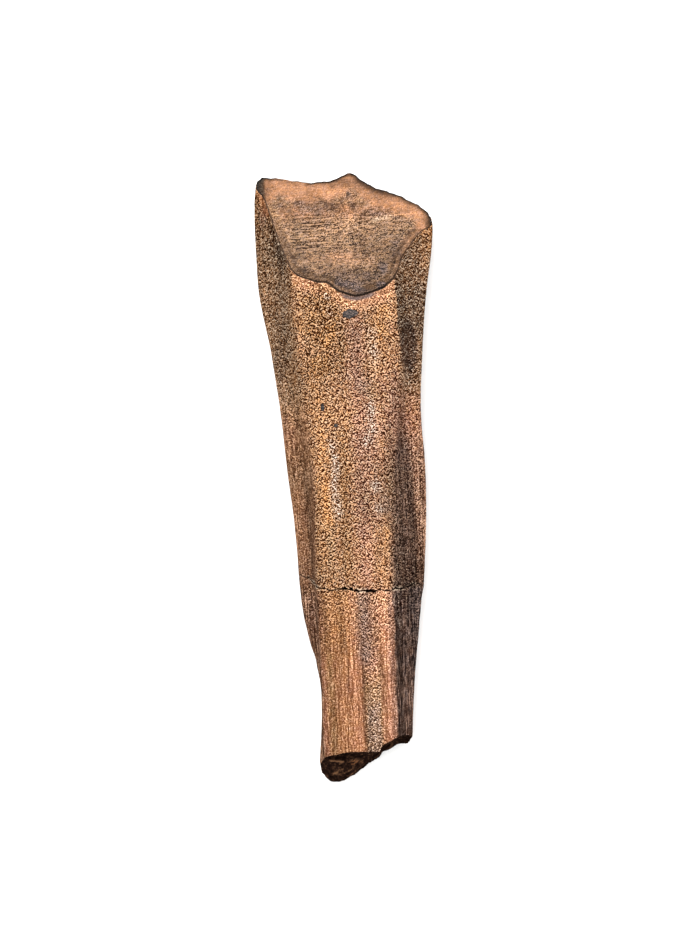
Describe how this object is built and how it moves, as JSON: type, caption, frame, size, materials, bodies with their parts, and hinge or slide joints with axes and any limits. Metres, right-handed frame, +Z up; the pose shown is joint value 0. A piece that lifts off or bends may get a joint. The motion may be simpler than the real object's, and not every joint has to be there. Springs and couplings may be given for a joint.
{
  "type": "fossil hadrosaur tooth",
  "caption": "Fossil tooth of a duck-billed dinosaur with its root, lying down: a broad worn grinding end, furrowed flanks, a mended crack and a broken root tip.",
  "frame": {"origin": "middle of the footprint's box, on the surface that the tooth lies on", "axes": "+Y along the tooth from the root to the grinding end, +Z up from the enamelled face to the broad front"},
  "size_m": [0.0118, 0.0404, 0.0078],
  "materials": {
    "fossil_tooth": "satin brown fossil with a pebbled grain, lighter golden patches and dark creases"
  },
  "bodies": {
    "root": {"tooth": "fossil_tooth"}
  },
  "joints": []
}
